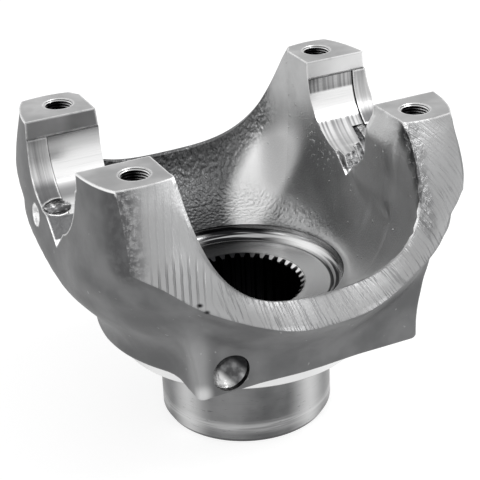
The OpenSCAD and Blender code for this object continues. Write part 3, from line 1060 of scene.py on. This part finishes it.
def marked_places(n):
    """Masks of the places on the forging that more than one finish shows.

    They are two black nicks at the outer edge of the band, the darkened strip where the band
    begins under the near left pad, the rim at the near right pad that the trimming tore, and
    the forging close to the pads and seats, whose sharp edges get painted highlights.
    """
    nicks = ((-54.9, -78.8, 102.8), (-52.7, -80.3, 99.7))
    # the strip where the band begins under the near left pad, which the finishes make darker and ragged
    darkened = ((-77, -56.5, 143), (-77.8, -59, 135), (-78.3, -61, 127), (-78.3, -62.5, 119))
    torn = ((53.7, -56, 145), (53.3, -62, 137.5), (51.8, -67.5, 130), (51.5, -72.5, 121), (51, -77, 112.5))

    def build(g):
        x, y, z = g.axes()
        size_x, size_y = g.math("ABSOLUTE", x), g.math("ABSOLUTE", y)
        by_seat = g.times(
            g.ramp(size_y, n.seat_radius + 4, n.seat_radius + 2), g.ramp(z, 98, 101), g.ramp(size_x, 40, 44)
        )
        return (
            g.blobs(nicks, (1.1, 1.1, 0.8), 0.7),
            g.blobs(darkened, (7.5, 7.0, 9.0), 0.6),
            g.blobs(torn, (4.2, 4.2, 7.5), 0.5),
            g.either(g.ramp(z, n.pad_height - 2.5, n.pad_height - 1.5), by_seat),
        )

    return shared_group("marked_places", ("Nicks", "Darkened", "Torn", "By cutters"), build)


# Paints: heights and places are in millimetres, angles in degrees round the hub axis


def paint_skin(c, n):
    f = Finish("forged_skin", 0.5)
    marks = f.group(marked_places(n))
    cloud, grain, speck = f.group(forging_grain())
    angle = f.azimuth()
    f.tone = f.mix(f.ramp(cloud, 0.35, 0.7, 0.25, 1.0), c.skin_dark_and_shade, c.skin)
    # painted highlight on the block's front ridge, painted shade in the valley beside it and a painted
    # highlight on the nub at its foot
    ridge = f.times(f.bell(angle, -128, 7), f.ramp(f.z, 96, 70))
    f.coat(c.skin_light_and_sheen, ridge, 0.45)
    valley_shade = f.times(f.bell(angle, -124, 3), f.ramp(f.z, 84, 70))
    f.coat(c.shade, valley_shade, 0.5)
    nub_highlight = f.blob((-51, -67, 53), (3.5, 3.5, 4), 0.7)
    f.coat(c.gleam, nub_highlight, 0.45)
    f.coat(c.skin_light_and_sheen, speck, 0.4)
    f.coat(c.shade, marks["Darkened"], f.ramp(f.noise(0.3, 3, 0.6), 0.3, 0.6, 0.5, 1), 0.85)
    f.coat(c.black, marks["Nicks"])
    # painted highlight along the skin's top under the pads, strongest on the left
    pad_rim_highlight = f.ramp(f.z, n.pad_height - 1.2, n.pad_height - 0.7)
    f.coat(c.gleam, pad_rim_highlight, f.ramp(f.x, -2, -6, 0.2, 0.95))
    # painted highlights on the sharp edges near the pads and seats
    f.coat(c.gleam, edge_light_and_shade_mask(f), marks["By cutters"], 0.75)
    f.close(f.weighed((0.7, grain), (2.5, speck)), 0.12, 0.5)


def paint_bowl(c, n):
    f = Finish("forged_bowl", 0.38)
    marks = f.group(marked_places(n))
    cloud, grain, speck = f.group(forging_grain())
    angle = f.azimuth()
    lean = f.weighed((1, angle), (0.45, f.z))
    f.tone = f.mix(f.ramp(cloud, 0.3, 0.7), c.bowl_dark, c.bowl)
    # painted shade on the bowl's back left
    shaded_back_left = f.times(f.ramp(lean, 98, 106), f.ramp(lean, 190, 160), f.ramp(f.z, 125, 100))
    f.coat(c.skin_dark_and_shade, shaded_back_left, 0.85)
    # painted highlight down the bowl's back right, rougher there to spread it
    highlight_streak = f.times(f.bell(lean, 91, 16), f.bell(f.z, 86, 38))
    f.coat(c.gleam, f.ramp(highlight_streak, 0, 0.55))
    # painted highlights inside the near right ear
    near_ear_highlight = f.times(f.bell(lean, 17, 10), f.bell(f.z, 92, 40))
    near_side_highlight = f.times(f.ramp(f.x, 25, 45, 0, 0.7), f.ramp(f.y, 8, -14, 0.35, 1))
    f.coat(c.gleam, f.either(near_ear_highlight, near_side_highlight), 0.6)
    f.coat(c.skin_light_and_sheen, speck, 0.5)
    chips = f.times(f.ramp(f.noise(0.55, 2, 0.6), 0.6, 0.68), f.blob((52.5, 16, 112), (6, 15, 12)))
    f.coat(c.gleam, chips, 0.3)
    # painted shade in the torn groove under the near right rim
    torn = f.times(marks["Torn"], f.ramp(f.noise(0.35, 3, 0.6), 0.3, 0.5, 0.4, 1))
    f.coat(c.shade, torn, 0.95)
    # painted highlights on the sharp edges near the pads and seats
    f.coat(c.gleam, edge_light_and_shade_mask(f), marks["By cutters"], 0.8)
    f.put("Roughness", f.ramp(highlight_streak, 0, 0.5, 0.38, 0.62))
    swirl = f.noise(0.6, 1, 0.4, f.scaled(f.place, (1, 1, 0.6)))
    near_ring = f.times(f.ramp(f.z, 80, 71), f.bell(angle, 75, 95))
    ripples = f.times(swirl, f.either(shaded_back_left, near_ring))
    f.close(f.weighed((0.1, grain), (0.3, speck), (1, ripples), (0.5, torn), (0.3, chips)), 1.3)


def paint_band(c, n):
    f = Finish("sheared_band", 0.42)
    marks = f.group(marked_places(n))
    angle = f.azimuth()
    flat = f.combined(f.z, f.weighed((1.4, angle), (0.3, f.z)))
    fine, broad = f.group(tool_streaks(), flat)
    cloud, grain, _ = f.group(forging_grain())
    f.tone = f.mix(f.ramp(cloud, 0.3, 0.7), c.milled, c.band)
    patch = f.ramp(f.noise(0.09), 0.42, 0.62)
    shear = f.noise(1, 2, 0.6, f.scaled(flat, (0.06, 1.1, 0)))
    lines = f.times(
        f.ramp(shear, 0.5, 0.62), f.ramp(patch, 0, 1, 0.4, 1),
        f.ramp(angle, -124, -116), f.ramp(f.z, 132, 108, 0.3, 1),
    )
    f.coat(c.skin_dark_and_shade, lines, 0.45)
    rag = f.ramp(f.noise(0.4, 3, 0.6), 0.3, 0.6, 0.35, 1)
    rough_end = f.times(marks["Darkened"], rag)
    f.coat(c.shade, rough_end, 0.9)
    torn = f.times(marks["Torn"], rag)
    f.coat(c.skin_dark_and_shade, torn, 0.45)
    across = f.weighed((1.95, f.x), (-0.9, f.y), (2.6, f.noise(0.12)))
    low, high = f.blob((-61, -73, 109), (12, 11, 11)), f.blob((-66, -62, 134), (10, 12, 14))
    flutes = f.times(f.ramp(f.math("SINE", across), 0.3, 1), f.either(low, f.times(high, 0.2)))
    f.coat(c.skin_dark_and_shade, flutes, 0.5)
    f.coat(c.black, marks["Nicks"])
    below, above = n.pad_height - 2.5, n.pad_height - 1.5
    # painted shade along the band's lower sharp edges and painted highlights along its edges at the pads
    trim = f.mix(f.ramp(f.z, below, above), c.shade, c.gleam)
    f.coat(trim, edge_light_and_shade_mask(f), f.ramp(f.z, below, above, 0.4, 0.7))
    cuts = f.weighed((-1.2, lines), (-1.5, flutes), (1.2, rough_end), (1.5, torn))
    f.close(f.weighed((0.4, fine), (0.25, broad), (0.25, grain), (1, cuts)), 0.4, 0.7)


def paint_pads(c, n):
    f = Finish("milled_pad", 0.36)
    turned = f.add("ShaderNodeVectorRotate", f.place, rotation_type="Z_AXIS")
    turned.inputs["Angle"].default_value = math.radians(35)
    fine = f.group(tool_streaks(), turned.outputs[0])["Fine"]
    cloud = f.group(forging_grain())["Cloud"]
    f.tone = f.mix(f.ramp(cloud, 0.3, 0.7, 0, 0.35), c.milled, c.gleam)
    f.coat(c.shade, f.ramp(fine, 0.5, 0.75, 0, 0.12))
    wall, axis = f.ramp(f.z, n.pad_height - 0.4, n.pad_height - 1), n.pad_height - n.seat_drop
    # painted shade on the left ear's walls and painted highlight on the right ear's walls, then a painted
    # shade line at the walls' foot and painted highlights on the sharp edges
    f.coat(c.shade, wall, f.ramp(f.x, -5, -10), f.ramp(f.x, -70, -62, 0.3, 0.65))
    f.coat(c.gleam, wall, f.ramp(f.x, 5, 10), 0.5)
    f.coat(c.shade, wall, f.ramp(f.z, axis + 0.7, axis + 0.3))
    f.coat(c.gleam, edge_light_and_shade_mask(f), 0.9)
    f.close(fine, 0.04, 0.3)


def paint_seats(c, n):
    f = Finish("bored_seat", 0.2)
    fine = f.group(tool_streaks())["Fine"]
    axis, end = n.pad_height - n.seat_drop, n.stop_gap / 2
    # painted reflection on the bored seats: bright steel round the middle, painted shade above and below
    # it, in bands along the right seat
    left_low_shade = f.times(f.ramp(f.z, 124, 117.5), f.ramp(f.z, 112.5, 116.5, 0.2, 0.85))
    left_shade = f.either(f.ramp(f.z, 128, axis, 0, 0.75), left_low_shade)
    right_low_shade = f.times(f.ramp(f.z, 122, 120.2), f.ramp(f.z, 110.5, 120, 0.65, 0.92))
    bands = f.noise(1, 1, 0.5, f.scaled(f.place, (0.5, 0, 0)))
    right_shade = f.times(
        f.either(f.ramp(f.z, 132.4, 133.6, 0, 0.8), right_low_shade), f.ramp(bands, 0.4, 0.6, 0.75, 1)
    )
    on_right = f.ramp(f.x, -1, 1)
    dark = f.weighed((on_right, right_shade), (f.math("SUBTRACT", 1, on_right), left_shade))
    f.tone = f.mix(dark, c.bored, c.shade)
    f.coat(c.shade, f.ramp(fine, 0.5, 0.75, 0, 0.12))
    # painted shade lines along the seats' ends at the stops and along their top edges under the walls
    by_stop_shade = f.ramp(f.math("ABSOLUTE", f.x), end - 0.8, end - 0.3)
    f.coat(c.shade, f.either(by_stop_shade, f.ramp(f.z, axis - 0.6, axis - 0.2)), 0.9)
    f.put("Roughness", f.ramp(f.z, 122, 119.5, 0.2, 0.5))
    f.close(fine, 0.03, 0.3)


def paint_stops(c, n):
    f = Finish("bored_stop", 0.3)
    fine, broad = f.group(tool_streaks(), f.combined(f.z, f.times(f.x, 0.7)))
    f.tone = f.mix(f.ramp(broad, 0.35, 0.65, 0.1, 0.5), c.milled, c.gleam)
    f.coat(c.shade, f.ramp(fine, 0.52, 0.7, 0, 0.35))
    # painted shade on the stops' lower half, and more lightly towards the top under the walls
    f.coat(c.shade, f.ramp(f.z, 126, 119.5, 0, 0.92))
    f.coat(c.shade, f.ramp(f.z, 131, n.pad_height - n.seat_drop, 0, 0.4))
    # painted highlights on the sharp edges
    f.coat(c.gleam, edge_light_and_shade_mask(f), 0.7)
    f.put("Roughness", f.ramp(f.z, 125, 120, 0.3, 0.5))
    f.close(fine, 0.08, 0.5)


def paint_hub(c, n):
    f = Finish("turned_hub", 0.36)
    angle = f.azimuth()
    fine, broad = f.group(tool_streaks(), f.combined(angle, f.z))
    cloud, grain, _ = f.group(forging_grain())
    f.tone = f.mix(f.ramp(cloud, 0.3, 0.7), c.skin_dark_and_shade, c.skin)
    # painted sheen in broad bands at four angles, painted highlights in narrower ones, and a painted
    # reflection of the floor low down
    f.coat(c.milled, f.bells(angle, (-130, -40, 50, 140), 30), 0.3)
    f.coat(c.gleam, f.bells(angle, (-68, 22, 112, -158), 20), 0.6)
    f.coat(c.gleam, f.bell(f.z, 8, 4.5), f.ramp(broad, 0.4, 0.6, 0.15, 0.4))
    f.coat(c.shade, f.ramp(fine, 0.55, 0.7, 0, 0.18))
    scratch = f.ramp(f.noise(0.6, 4, 0.7, f.scaled(f.place, (0.25, 0.25, 1.4))), 0.62, 0.68)
    f.coat(c.shade, scratch, 0.5)
    # painted shadow where the hub meets the floor
    f.coat(c.shade, f.ramp(f.z, 2.4, 1.2, 0, 0.9))
    # painted highlight on the shoulder's side
    shoulder = f.ramp(f.z, n.shoulder_low + 0.2, n.shoulder_low + 0.6)
    f.coat(c.gleam, shoulder, 0.75)
    f.close(f.weighed((1, fine), (0.3, grain)), 0.08, 0.5)


def paint_recess(c, n):
    f = Finish("turned_recess", 0.22)
    angle = f.azimuth()
    distance = f.vector("LENGTH", f.scaled(f.place, (1, 1, 0)))["Value"]
    fine, broad = f.group(tool_streaks(), f.combined(angle, distance, f.z))
    flat = n.recess_radius - RECESS_ROUND[0]
    # painted light on the recess: the floor lit on one side and in painted shade on the other, the round in
    # dark painted reflections with painted highlights at four angles
    floor = f.mix(f.bell(angle, -12, 105), c.shade, c.gleam)
    groove = f.mix(f.ramp(broad, 0.45, 0.55), c.black, c.turned)
    groove = f.mix(f.bells(angle, (20, 118, -100, -170), 34), groove, c.gleam)
    f.tone = f.mix(f.ramp(distance, flat + 0.5, flat - 0.2), groove, floor)
    # painted shade lines where the floor meets the round and along the sharp edges
    f.coat(c.shade, f.bell(distance, flat + 0.7, 0.7), 0.9)
    f.coat(c.black, edge_light_and_shade_mask(f), 0.9)
    f.coat(c.shade, f.ramp(fine, 0.5, 0.7, 0, 0.12))
    f.close(fine, 0.04, 0.4)


def paint_threads(c, n):
    f = Finish("cut_thread", 0.25)
    off_x, off_y = (
        f.math("SUBTRACT", value, f.times(f.math("SIGN", value), gap / 2))
        for value, gap in ((f.x, n.hole_gap_x), (f.y, n.hole_gap_y))
    )
    from_hole = f.vector("LENGTH", f.combined(off_x, off_y))["Value"]
    # the holes are painted black as shade, with painted highlights on the upper crests on their lit sides
    # and round the mouth
    crest = f.times(
        f.ramp(from_hole, n.hole_radius + 0.6, n.hole_radius + 0.25),
        f.ramp(f.z, n.pad_height - 12, n.pad_height - 7),
    )
    angle = f.degrees(off_x, off_y)
    mouth = f.ramp(f.z, n.pad_height - 1.8, n.pad_height - 1.2, 0, 0.6)
    lit = f.either(f.bell(angle, 12, 62), f.times(f.bell(angle, 160, 40), 0.6), mouth)
    f.tone = f.mix(f.times(crest, lit), c.black, c.gleam)
    f.close()


def paint_splines(c, n):
    f = Finish("broached_spline", 0.3)
    # the teeth's upper ends get painted highlights on one side; the rest is painted black as shade
    ends = f.ramp(f.z, n.recess_floor - 2.9, n.recess_floor - 0.7)
    f.tone = f.mix(f.times(ends, f.bell(f.azimuth(), 0, 62)), c.black, c.gleam)
    f.close()


def paint_spot(c, n):
    f = Finish("drilled_spot", 0.3)
    patch = f.ramp(f.noise(0.3), 0.35, 0.7)
    f.tone = f.mix(patch, c.shade, c.skin)
    # painted highlight on the spot's lower left wall and painted shade on its right
    off = f.vector("SUBTRACT", f.place, (n.spot_x - 0.4, -n.block_y, n.spot_z + 0.9))[0]
    side = f.vector("DOT_PRODUCT", off, (0.77, 0, 0.64))["Value"]
    f.coat(c.gleam, f.ramp(side, -2, -5.5, 0, 0.9))
    f.coat(c.black, f.ramp(side, 3, 5.5, 0, 0.95))
    f.close(f.weighed((1, patch), (0.3, f.group(forging_grain())["Grain"])), 0.2, 0.4)


def paint_torn(c, n):
    f = Finish("torn_relief", 0.4)
    rag = f.ramp(f.noise(0.35, 3, 0.6), 0.35, 0.65)
    on_right = f.ramp(f.x, 40, 50)
    smooth = f.mix(f.ramp(rag, 0, 1, 0.3, 0.8), c.shade, c.skin_dark_and_shade)
    f.tone = f.mix(on_right, smooth, f.mix(rag, c.black, c.skin))
    # painted shade deep in the right notch
    f.coat(c.black, f.ramp(f.x, 57.5, 60), f.ramp(f.z, 108, 112), 0.85)
    # painted highlights on the notch's tip, the scoop at the left seat's foot and the right ear's edge
    tip = f.ramp(f.z, n.relief_tip + 2.3, n.relief_tip + 1.7)
    left_end_highlight = f.times(f.ramp(f.y, 16.5, 17.5), f.ramp(f.x, -80, -84))
    right_highlight = f.times(f.bell(f.x, 53, 3), f.ramp(f.z, 113, 106))
    f.coat(c.gleam, f.either(tip, left_end_highlight, right_highlight), f.ramp(rag, 0, 0.7, 0.5, 1))
    # painted highlights on the sharp edges, stronger on the left
    f.coat(c.gleam, edge_light_and_shade_mask(f), f.ramp(f.x, -10, 10, 0.85, 0.3))
    grain = f.group(forging_grain())["Grain"]
    f.close(f.weighed((1, f.times(rag, on_right)), (0.15, rag), (0.1, grain)), 0.3, 0.5)


PAINTS = (
    paint_skin, paint_bowl, paint_band, paint_pads, paint_seats, paint_stops,
    paint_hub, paint_recess, paint_threads, paint_splines, paint_spot, paint_torn,
)


class YOKE_OT_paint(bpy.types.Operator):
    """Gives each surface its finish"""

    bl_idname = "yoke.paint"
    bl_label = "Finish the surfaces"

    def execute(self, context):
        for paint in PAINTS:
            paint(context.scene.yoke_colours, millimetres())
        return {"FINISHED"}


class YOKE_OT_stage(bpy.types.Operator):
    """Sets the camera, the floor and the soft studio light"""

    bl_idname = "yoke.stage"
    bl_label = "Set the stage"

    def execute(self, context):
        scene = context.scene
        scene.view_settings.view_transform = "Standard"
        self.place_camera(scene, scene.yoke_stage)
        self.lay_floor(scene, scene.yoke_stage)
        self.light_room(scene, scene.yoke_stage)
        return {"FINISHED"}

    def place_camera(self, scene, settings):
        data = bpy.data.cameras.new("camera")
        data.lens, data.sensor_width, data.clip_end = settings.lens, 36, 100
        camera = bpy.data.objects.new("camera", data)
        scene.collection.objects.link(camera)
        yaw, pitch, roll = (math.degrees(a) for a in settings.camera_turn)
        forward = Vector((-sin(yaw) * cos(pitch), cos(yaw) * cos(pitch), -sin(pitch)))
        right = Vector((cos(yaw), sin(yaw), 0))
        up = right.cross(forward)
        right, up = cos(roll) * right + sin(roll) * up, -sin(roll) * right + cos(roll) * up
        turned = Matrix((right, up, -forward)).transposed().to_4x4()
        camera.matrix_world = Matrix.Translation(settings.camera_place) @ turned
        scene.camera = camera

    def seen_share(self, nodes):
        """1 for what the camera sees straight, in a reflection or through glass."""
        path = nodes.add("ShaderNodeLightPath").outputs
        return nodes.either(path["Is Camera Ray"], path["Is Glossy Ray"], path["Is Transmission Ray"])

    def lay_floor(self, scene, settings):
        """A pale floor that throws its plain colour on the yoke and shows as white with a shadow."""
        bm = bmesh.new()
        bmesh.ops.create_grid(bm, x_segments=1, y_segments=1, size=4)
        mesh = bpy.data.meshes.new("floor")
        bm.to_mesh(mesh)
        bm.free()
        floor = bpy.data.objects.new("floor", mesh)
        scene.collection.objects.link(floor)
        material = bpy.data.materials.new("pale_floor")
        material.use_nodes = True
        nodes = Nodes(material.node_tree)
        nodes.tree.nodes.clear()
        matte = nodes.add("ShaderNodeBsdfDiffuse", scene.yoke_colours.floor)
        soft = nodes.add("ShaderNodeBsdfDiffuse", (0.45, 0.45, 0.45))
        glow = nodes.add("ShaderNodeEmission", (1, 1, 1), settings.floor_white)
        shown = nodes.add("ShaderNodeAddShader", soft.outputs[0], glow.outputs[0])
        blend = nodes.add("ShaderNodeMixShader", self.seen_share(nodes), matte.outputs[0], shown.outputs[0])
        nodes.add("ShaderNodeOutputMaterial", blend.outputs[0])
        mesh.materials.append(material)

    def light_room(self, scene, settings):
        """Even light from a room that shows as white, and two soft lamps."""
        world = bpy.data.worlds.new("room")
        world.use_nodes = True
        nodes = Nodes(world.node_tree)
        nodes.tree.nodes.clear()
        room = nodes.add("ShaderNodeBackground", (1, 1, 1), settings.sky)
        white = nodes.add("ShaderNodeBackground", (1, 1, 1), 1.0)
        blend = nodes.add("ShaderNodeMixShader", self.seen_share(nodes), room.outputs[0], white.outputs[0])
        nodes.add("ShaderNodeOutputWorld", blend.outputs[0])
        scene.world = world
        middle = Vector((0, 0, 0.09))
        for name, place, size, power in (
            ("key", (0.7, -0.5, 1.1), 0.7, settings.key),
            ("fill", (-1.0, -0.6, 0.7), 0.8, settings.key * 0.5),
        ):
            lamp = bpy.data.lights.new(name, "AREA")
            lamp.shape, lamp.size, lamp.energy = "SQUARE", size, power
            holder = bpy.data.objects.new(name, lamp)
            scene.collection.objects.link(holder)
            aim = (middle - Vector(place)).to_track_quat("-Z", "Y").to_matrix().to_4x4()
            holder.matrix_world = Matrix.Translation(place) @ aim


STEPS = (
    YOKE_OT_forge, YOKE_OT_turn_hub, YOKE_OT_mill_pads, YOKE_OT_bore_seats,
    YOKE_OT_tap_holes, YOKE_OT_turn_recess, YOKE_OT_drill_spot, YOKE_OT_finish_edges,
    YOKE_OT_paint, YOKE_OT_stage,
)


class YOKE_PT_panel(bpy.types.Panel):
    """Lists the steps and the settings"""

    bl_idname = "YOKE_PT_panel"
    bl_label = "End Yoke"
    bl_space_type = "VIEW_3D"
    bl_region_type = "UI"
    bl_category = "End Yoke"

    def draw(self, context):
        for step in STEPS:
            self.layout.operator(step.bl_idname)
        for group in (context.scene.yoke_sizes, context.scene.yoke_colours, context.scene.yoke_stage):
            box = self.layout.box()
            for name in group.__annotations__:
                box.prop(group, name)


CLASSES = (YokeSizes, YokeColours, YokeStage, *STEPS, YOKE_PT_panel)


def register():
    for item in CLASSES:
        bpy.utils.register_class(item)
    bpy.types.Scene.yoke_sizes = PointerProperty(type=YokeSizes)
    bpy.types.Scene.yoke_colours = PointerProperty(type=YokeColours)
    bpy.types.Scene.yoke_stage = PointerProperty(type=YokeStage)


def unregister():
    for name in ("yoke_sizes", "yoke_colours", "yoke_stage"):
        delattr(bpy.types.Scene, name)
    for item in reversed(CLASSES):
        bpy.utils.unregister_class(item)


def main():
    register()
    for step in STEPS:
        call = step.bl_idname.split(".")[1]
        getattr(bpy.ops.yoke, call)()


if __name__ == "__main__":
    main()
